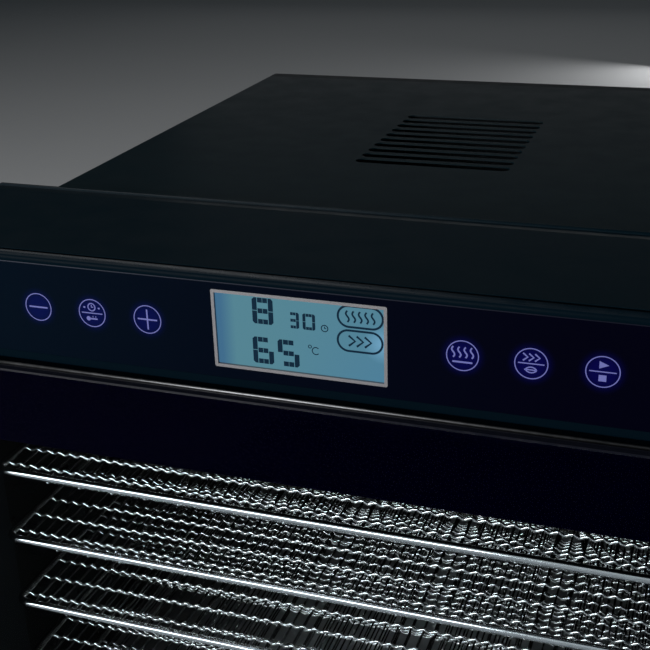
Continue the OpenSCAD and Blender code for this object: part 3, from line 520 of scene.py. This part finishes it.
def lit_display(lo, hi):
    """A backlit panel: bluer at its left edge and lower right, with a bright spot near its right edge."""
    lcd = Finish("display_backlight", (0.01, 0.02, 0.03), 0.28, specular=0.1)
    lcd.grain(2200.0, 0.1, 0.02 * MM)
    axes = lcd.axes()
    width, height = hi.x - lo.x, hi.z - lo.z
    across = lcd.spread(axes["X"], 0.0, 1.0, lo.x + 0.07 * width, lo.x + 0.15 * width)
    right = lcd.spread(axes["X"], 0.0, 1.0, lo.x + 0.35 * width, hi.x)
    low = lcd.spread(axes["Z"], 1.0, 0.35, lo.z, hi.z)
    lower_right = lcd.combine("MULTIPLY", right, low)
    body = lcd.mix_colors(lower_right, (0.072, 0.200, 0.248), (0.058, 0.182, 0.285))
    glow = lcd.mix_colors(across, (0.034, 0.120, 0.220), body)
    spot = (hi.x - 4.5 * MM, lo.y, lo.z + 0.52 * height)
    near = lcd.spread(lcd.distance_to(spot), 0.85, 0.0, 1.0 * MM, 9.5 * MM)
    lit = lcd.mix_colors(near, glow, (0.150, 0.350, 0.520))
    lcd.link(lit, lcd.shader.inputs["Emission Color"])
    lcd.shader.inputs["Emission Strength"].default_value = 1.0
    return lcd


def icon_light():
    """Violet light through the printed icons."""
    light = Finish("icon_light", (0.05, 0.05, 0.12), 0.4)
    light.grain(1500.0, 0.1, 0.01 * MM)
    light.shader.inputs["Emission Color"].default_value = (0.078, 0.086, 0.28, 1.0)
    light.shader.inputs["Emission Strength"].default_value = 1.0
    return light


def door_pane(top):
    """Smoked clear glass that mirrors at a slant, with a dark grey ground edge on top."""
    pane = Finish("door_pane", (0.0060, 0.0070, 0.0120), 0.16)
    pane.vary_roughness(220.0, 0.10, 0.24)
    clear = pane.node("ShaderNodeBsdfTransparent", Color=(0.80, 0.83, 0.85, 1.0))
    mirror = pane.node("ShaderNodeBsdfGlossy", Roughness=0.03)
    facing = pane.node("ShaderNodeFresnel", IOR=1.07)
    geometry = pane.node("ShaderNodeNewGeometry")
    front_only = pane.combine("SUBTRACT", 1.0, geometry.outputs["Backfacing"])
    faces = pane.node("ShaderNodeMixShader")
    pane.link(pane.combine("MULTIPLY", facing.outputs["Fac"], front_only), faces.inputs["Fac"])
    pane.link(clear.outputs["BSDF"], faces.inputs[1])
    pane.link(mirror.outputs["BSDF"], faces.inputs[2])
    on_top = pane.spread(pane.axes()["Z"], 0.0, 1.0, top - 0.9 * MM, top - 0.6 * MM)
    result = pane.node("ShaderNodeMixShader")
    pane.link(on_top, result.inputs["Fac"])
    pane.link(faces.outputs["Shader"], result.inputs[1])
    pane.link(pane.shader.outputs["BSDF"], result.inputs[2])
    pane.link(result.outputs["Shader"], pane.tree.nodes["Material Output"].inputs["Surface"])
    return pane


def finish_cad_nodes(spots):
    paint(frame_satin_painted_recess_shade(), "front_frame")
    paint(bezel_gloss_painted_seam_shade(), "front_bezel")
    paint(cover_plastic, "rear_cover", "hinge_stile", "handle_stile")
    paint(powder, "cabinet_shell")
    paint(enamel, "chamber_roof", "chamber_floor", "side_panel_left", "side_panel_right", "fan_guard",
          "exhaust_duct")
    paint(rubber, "feet", "cord_gland", "door_gasket")
    paint(silver, "display_trim")
    paint(brushed, "door_handle", "touch_springs", "hinge_pins", "fan_shaft", "motor_rotor",
          "strike_plates")
    paint(stainless, "drip_tray", "temperature_probe")
    paint(zinc, "base_pan", "floor_crossbars", "rear_bulkhead", "hinge_brackets",
          "motor_brackets", "motor_posts", "heater_clips", "board_screws", "rear_screws", "hinge_screws",
          "handle_screws", "catch_magnets", "blade_nut")
    paint(board, "control_board", "power_board")
    paint(ribbon, "ribbon_cable")
    paint(sheath, "heater_coil")
    paint(ceramic, "thermal_cutout")
    paint(laminations, "fan_motor")
    paint(blade_metal, "fan_blade")
    paint(lit_display(*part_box("display_module")), "display_module")
    paint(panel_glass(spots), "control_glass")
    paint(door_pane(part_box("door_glass")[1].z), "door_glass")


# ---------------------------------------------------------------- trays

# Rim rod, and the rods under its front and back: how far down, how far in, how much shorter at each
# end, and the weld drops on them
RIM_R = 2.2 * MM
CORNER_R = 7.0 * MM
UNDER_R = 1.2 * MM
UNDER_DROP = 2.75 * MM
UNDER_INSET = 1.5 * MM
UNDER_SHORT = 12 * MM
DROP_PITCH = 19.8 * MM
DROP_RADII = (1.3 * MM, 1.3 * MM, 0.9 * MM)
# Mesh: the cross wires swing up and down by SWING over the long wires, of which none lies within
# LONG_MARGIN of the tray's sides
CROSS_R = 0.95 * MM
CROSS_PITCH = 17.4 * MM
SWING = 0.7 * MM
LONG_R = 0.55 * MM
LONG_PITCH = 7.2 * MM
LONG_MARGIN = 4 * MM
STEPS_PER_CRIMP = 8


def rim_points(x, y0, y1):
    """Points round the rim's centreline, with quarter-circle corners in steps of 9 degrees."""
    points = []
    for cx, cy, start in ((x, y1, 0), (-x, y1, 90), (-x, y0, 180), (x, y0, 270)):
        ox = cx - math.copysign(CORNER_R, cx)
        oy = cy - CORNER_R if cy == y1 else cy + CORNER_R
        for k in range(11):
            a = math.radians(start + 9 * k)
            points.append((ox + CORNER_R * math.cos(a), oy + CORNER_R * math.sin(a), 0.0))
    return points


def rim_parts(x, y0, y1, z):
    """Polished rim rod, the thinner rods welded inside and under its front and back, and weld drops."""
    parts = [loop_tube([(p[0], p[1], z) for p in rim_points(x, y0, y1)], RIM_R, 24)]
    under = z - UNDER_DROP
    reach = x - UNDER_SHORT
    drops = int(reach / DROP_PITCH)
    for y in (y0 + UNDER_INSET, y1 - UNDER_INSET):
        parts.append(straight_rod((-reach, y, under), (reach, y, under), UNDER_R))
        for k in range(-drops, drops + 1):
            parts.append(weld_drop((k * DROP_PITCH, y, under - 0.7 * UNDER_R), DROP_RADII))
    return joined(parts)


def chord_half(offset, x, y):
    """Half the length of a wire that lies offset from the middle, inside the rim's round corners."""
    inset = offset - (y - CORNER_R)
    if inset <= 0:
        return x
    return x - CORNER_R + math.sqrt(max(CORNER_R ** 2 - inset ** 2, 0.0))


def cross_wires(x, y0, y1, z):
    """Wires from side to side, each crimped so that it rises over every long wire."""
    rows = round((y1 - y0) / CROSS_PITCH)
    pitch = (y1 - y0) / rows
    steps = int(2 * x / LONG_PITCH * STEPS_PER_CRIMP)
    paths = []
    for k in range(rows):
        y = y0 + (k + 0.5) * pitch
        reach = chord_half(abs(y - (y0 + y1) / 2), x, (y1 - y0) / 2)
        along = np.linspace(-reach, reach, steps)
        height = z + SWING * np.cos(2 * math.pi * along / LONG_PITCH)
        paths.append(np.stack([along, np.full_like(along, y), height], 1))
    return tubes(paths, (0.0, 1.0, 0.0), CROSS_R, 8)


def long_wires(x, y0, y1, z):
    """Straight wires from front to back, under the crests of the cross wires."""
    middle, half = (y0 + y1) / 2, (y1 - y0) / 2
    count = int((x - LONG_MARGIN) / LONG_PITCH)
    height = z + SWING - CROSS_R - LONG_R
    paths = []
    for k in range(-count, count + 1):
        reach = chord_half(abs(k * LONG_PITCH), half, x)
        along = np.linspace(-reach, reach, 3)
        paths.append(np.stack([np.full(3, k * LONG_PITCH), middle + along, np.full(3, height)], 1))
    return tubes(paths, (1.0, 0.0, 0.0), LONG_R, 8)


def dress_trays():
    """The five trays share their meshes, which are made for the top tray and lowered."""
    lo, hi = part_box(TRAYS[0])
    shape = (hi.x - RIM_R, lo.y + RIM_R, hi.y - RIM_R, hi.z - RIM_R)
    makers = (("rim", rim_parts, polished_wire), ("cross_wires", cross_wires, mesh_wire),
              ("long_wires", long_wires, long_wire_painted_shade))
    for suffix, maker, finish in makers:
        first = mesh_object(f"{TRAYS[0]}_{suffix}", *maker(*shape), finish)
        for name in TRAYS:
            piece = first if name == TRAYS[0] else bpy.data.objects.new(f"{name}_{suffix}", first.data)
            if piece is not first:
                bpy.context.scene.collection.objects.link(piece)
                piece.location.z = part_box(name)[1].z - hi.z
            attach(piece, f"{name}_body")
            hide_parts(name)


# ---------------------------------------------------------------- panel

# The icons' middles, from left to right in millimetres, and their height above the display's middle
ICON_X = (-135.0, -105.3, -75.7, 75.7, 105.3, 135.0)
ICON_RISE = 0.4 * MM
# Bars of the display's large and small digits, in millimetres
LARGE_BAR = 2.35
SMALL_BAR = 1.4
# Printed symbols stand a little proud of their surface and reach a little into it
ICON_PROUD = 0.04 * MM
SYMBOL_PROUD = 0.06 * MM
SUNK = 0.02 * MM


def circle(cx, cz, r, width, steps):
    return stroke(arc(cx, cz, r, 0, 360, steps)[:-1], width, closed=True)


def clock(cx, cz, r, width):
    hands = stroke([(cx, cz + r * 0.6), (cx, cz), (cx + r * 0.5, cz)], width)
    return circle(cx, cz, r, width, 20) + hands


def thermometer(cx, cz, width):
    """A thermometer on its side: tube, two marks and bulb."""
    tube = stroke([(cx - 0.6, cz), (cx + 3.0, cz)], width)
    ticks = bar(cx + 0.5, cx + 0.85, cz + 0.7, cz + 1.5) + bar(cx + 2.0, cx + 2.35, cz + 0.7, cz + 1.5)
    return tube + ticks + [tuple(arc(cx - 1.8, cz, 1.15, 0, 330, 11))]


def leaf(cx, cz, size, width):
    """Two arcs that meet in points, with a midrib."""
    upper = arc(cx, cz - size * 0.55, size, 35, 145, 10)
    lower = arc(cx, cz + size * 0.55, size, 215, 325, 10)
    midrib = [(cx - size, cz), (cx + size * 0.9, cz)]
    return stroke(upper, width) + stroke(lower, width) + stroke(midrib, width)


def icon_shapes():
    """Generic symbols, from left to right, in millimetres from each icon's middle."""
    ring = circle(0, 0, 7.0, 0.45, 48)
    line = bar(-5.6, 5.6, -0.25, 0.25)
    minus = bar(-5.1, 5.1, -0.37, 0.37)
    plus = minus + bar(-0.37, 0.37, 0.37, 5.1) + bar(-0.37, 0.37, -5.1, -0.37)
    dots = bar(-4.4, -3.4, 2.4, 3.2) + bar(3.4, 4.4, 2.4, 3.2)
    time_heat = line + clock(0, 3.1, 1.9, 0.55) + dots + thermometer(-0.4, -2.9, 0.75)
    warm = heat_waves(0, 1.6, 5.0, 0.7, 4) + bar(-4.4, 4.4, -3.4, -2.6)
    quick = line + chevrons(0, 2.9, 3.4, 0.7, 3) + leaf(0, -2.9, 2.9, 0.55)
    play = [((-1.6, 1.4), (2.4, 3.1), (-1.6, 4.8))]
    go_stop = line + play + bar(-1.6, 1.6, -4.4, -1.5)
    return [ring + symbol for symbol in (minus, time_heat, plus, warm, quick, go_stop)]


def icon_spots():
    """The middles of the icons on the glass, just above the level of the display's middle."""
    lo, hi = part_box("display_trim")
    z = (lo.z + hi.z) / 2 + ICON_RISE
    return [(x * MM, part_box("control_glass")[0].y, z) for x in ICON_X]


def dress_icons(spots):
    """One piece for the symbols of all six icons."""
    glow = icon_light()
    parts = []
    for (x, y, z), shapes in zip(spots, icon_shapes()):
        parts.append(thin_plates(shapes, (x, z), y - ICON_PROUD, y + SUNK))
    piece = mesh_object("touch_icons", *joined(parts), glow, smooth=False)
    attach(piece, "housing")


def display_shapes():
    """Digits, unit marks and two lozenges, in millimetres from the display's middle."""
    shapes = digit(8, -22.0, 4.4, 10.2, 12.8, LARGE_BAR)
    shapes += digit(3, -5.1, 4.0, 5.7, 7.8, SMALL_BAR)
    shapes += digit(0, 2.3, 4.0, 6.0, 7.8, SMALL_BAR)
    shapes += digit(6, -22.6, -15.4, 10.2, 13.2, LARGE_BAR)
    shapes += digit(5, -10.3, -15.4, 10.4, 13.2, LARGE_BAR)
    shapes += clock(12.7, 5.6, 1.55, 0.45)
    shapes += circle(5.4, -4.1, 0.75, 0.35, 14)
    shapes += stroke(arc(8.2, -6.0, 1.75, 45, 315, 18), 0.45)
    shapes += pill(29.5, 12.7, 20.8, 10.0, 1.0) + heat_waves(29.5, 12.7, 5.4, 0.85, 5)
    shapes += pill(29.2, 1.0, 20.8, 10.0, 1.0) + chevrons(29.2, 1.0, 5.0, 1.0, 3)
    return shapes


def dress_display():
    """One piece for all that the display shows."""
    lo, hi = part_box("display_trim")
    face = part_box("display_module")[0].y
    middle = ((lo.x + hi.x) / 2, (lo.z + hi.z) / 2)
    body = thin_plates(display_shapes(), middle, face - SYMBOL_PROUD, face + SUNK)
    piece = mesh_object("display_symbols", *body, ink, smooth=False)
    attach(piece, "housing")


# ---------------------------------------------------------------- door

# Printed border: its width at each edge of the glass, and the radius of the clear window's corners
BORDER_TOP = 45 * MM
BORDER_SIDE = 7 * MM
BORDER_FOOT = 34 * MM
WINDOW_R = 4 * MM
WINDOW_STEPS = 6
# The print's front and back, behind the glass
PRINT_FRONT = 0.02 * MM
PRINT_BACK = 0.14 * MM
# Bare strip of glass above the print, where its top edge is ground
BARE_TOP = 0.8 * MM
# Bead, and how far its middle is behind the glass and above its top edge
BEAD_R = 0.8 * MM
BEAD_BEHIND = 0.65 * MM
BEAD_ABOVE = 0.4 * MM


def dress_door_bead():
    """A thin satin bead that closes the top of the glass against the frame."""
    lo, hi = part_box("door_glass")
    y, z = hi.y + BEAD_BEHIND, hi.z + BEAD_ABOVE
    rod = straight_rod((lo.x, y, z), (hi.x, y, z), BEAD_R, 16)
    piece = mesh_object("door_top_bead", *rod, door_bead)
    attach(piece, "door")


def window_corners(x0, x1, z0, z1):
    """The clear window's four round corners, anticlockwise from the upper right."""
    r = WINDOW_R
    middles = ((x1 - r, z1 - r), (x0 + r, z1 - r), (x0 + r, z0 + r), (x1 - r, z0 + r))
    return [arc(cx, cz, r, 90 * k, 90 * k + 90, WINDOW_STEPS) for k, (cx, cz) in enumerate(middles)]


def dress_door():
    """The black border printed on the back of the glass."""
    lo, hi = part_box("door_glass")
    top = hi.z - BARE_TOP
    outer = ((hi.x, top), (lo.x, top), (lo.x, lo.z), (hi.x, lo.z))
    inner = window_corners(lo.x + BORDER_SIDE, hi.x - BORDER_SIDE, lo.z + BORDER_FOOT, hi.z - BORDER_TOP)
    shapes = []
    for k in range(4):
        after = (k + 1) % 4
        shapes.extend((outer[k], inner[k][s + 1], inner[k][s]) for s in range(WINDOW_STEPS))
        shapes.append((outer[k], outer[after], inner[after][0], inner[k][-1]))
    scaled = [tuple((x / MM, z / MM) for x, z in shape) for shape in shapes]
    body = thin_plates(scaled, (0.0, 0.0), hi.y + PRINT_FRONT, hi.y + PRINT_BACK)
    piece = mesh_object("door_border_print", *body, print_black, smooth=False)
    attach(piece, "door")


# ---------------------------------------------------------------- studio

# Each light's name, place, target, width and height, and power in watts
LIGHTS = (
    ("overhead", (-1.2, 0.75, 2.4), (0.0, 0.0, 0.3), (2.0, 0.6), 4.0),
    ("overhead_front", (-0.85, -0.42, 2.4), (0.0, -0.22, 0.37), (1.3, 0.3), 3.0),
    ("softbox_left", (-0.72, -1.55, 0.8), (0.0, 0.0, 0.25), (1.3, 0.42), 22.0),
    ("softbox_front", (-0.5, -1.25, 0.85), (0.0, -0.2, 0.25), (2.2, 1.5), 6.5),
    ("softbox_behind", (-0.15, 3.2, 0.72), (0.0, 0.0, 0.37), (3.2, 0.3), 0.7),
    ("fill_back", (0.7, 2.0, 0.19), (0.0, 0.27, 0.17), (1.6, 0.3), 5.0),
    ("fill_right", (1.9, -0.2, 0.19), (0.22, 0.0, 0.17), (1.2, 0.3), 4.0),
)
FLOOR_HALF = 9.0


def add_camera():
    """A close view from the right, above and in front, placed from the middle of the control glass."""
    lo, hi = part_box("control_glass")
    middle = Vector(((lo.x + hi.x) / 2, lo.y, (lo.z + hi.z) / 2))
    away = Vector((0.1742, -0.4434, 0.2101))
    right = Vector((0.943855, 0.329122, -0.028567))
    up = Vector((-0.10438, 0.37915, 0.91943))
    back = Vector((0.313436, -0.864828, 0.392212))
    data = bpy.data.cameras.new("camera")
    data.lens = 63.87
    data.sensor_width = 36.0
    data.shift_x = -0.0008
    data.shift_y = -0.0015
    data.clip_start = 0.01
    data.clip_end = 50.0
    camera = bpy.data.objects.new("camera", data)
    rotation = Matrix((right, up, back)).transposed().to_4x4()
    camera.matrix_world = Matrix.Translation(middle + away) @ rotation
    bpy.context.scene.collection.objects.link(camera)
    bpy.context.scene.camera = camera


def add_light(name, place, target, size, power):
    data = bpy.data.lights.new(name, "AREA")
    data.shape = "RECTANGLE"
    data.size, data.size_y = size
    data.energy = power
    lamp = bpy.data.objects.new(name, data)
    lamp.location = place
    aim = Vector(target) - Vector(place)
    lamp.rotation_euler = aim.to_track_quat("-Z", "Y").to_euler()
    bpy.context.scene.collection.objects.link(lamp)


def add_floor():
    half, z = FLOOR_HALF, cad_box[0][2]
    floor_finish = Finish("floor_paper", (0.62, 0.63, 0.64), 0.75, specular=0.2)
    floor_finish.vary_roughness(3.0, 0.7, 0.85)
    corners = [(-half, -half, z), (half, -half, z), (half, half, z), (-half, half, z)]
    floor = mesh_object("floor", corners, [(0, 1, 2, 3)], floor_finish, smooth=False)


def add_world():
    """Very dim, slightly blue light from all around."""
    world = bpy.data.worlds.new("studio")
    world.use_nodes = True
    sky = world.node_tree.nodes["Background"]
    sky.inputs["Color"].default_value = (0.62, 0.85, 1.00, 1.0)
    sky.inputs["Strength"].default_value = 0.02
    bpy.context.scene.world = world


def add_studio():
    add_floor()
    add_world()
    for light in LIGHTS:
        add_light(*light)
    bpy.context.scene.view_settings.view_transform = "Standard"


spots = icon_spots()
finish_cad_nodes(spots)
dress_trays()
dress_icons(spots)
dress_display()
dress_door()
dress_door_bead()
add_camera()
add_studio()
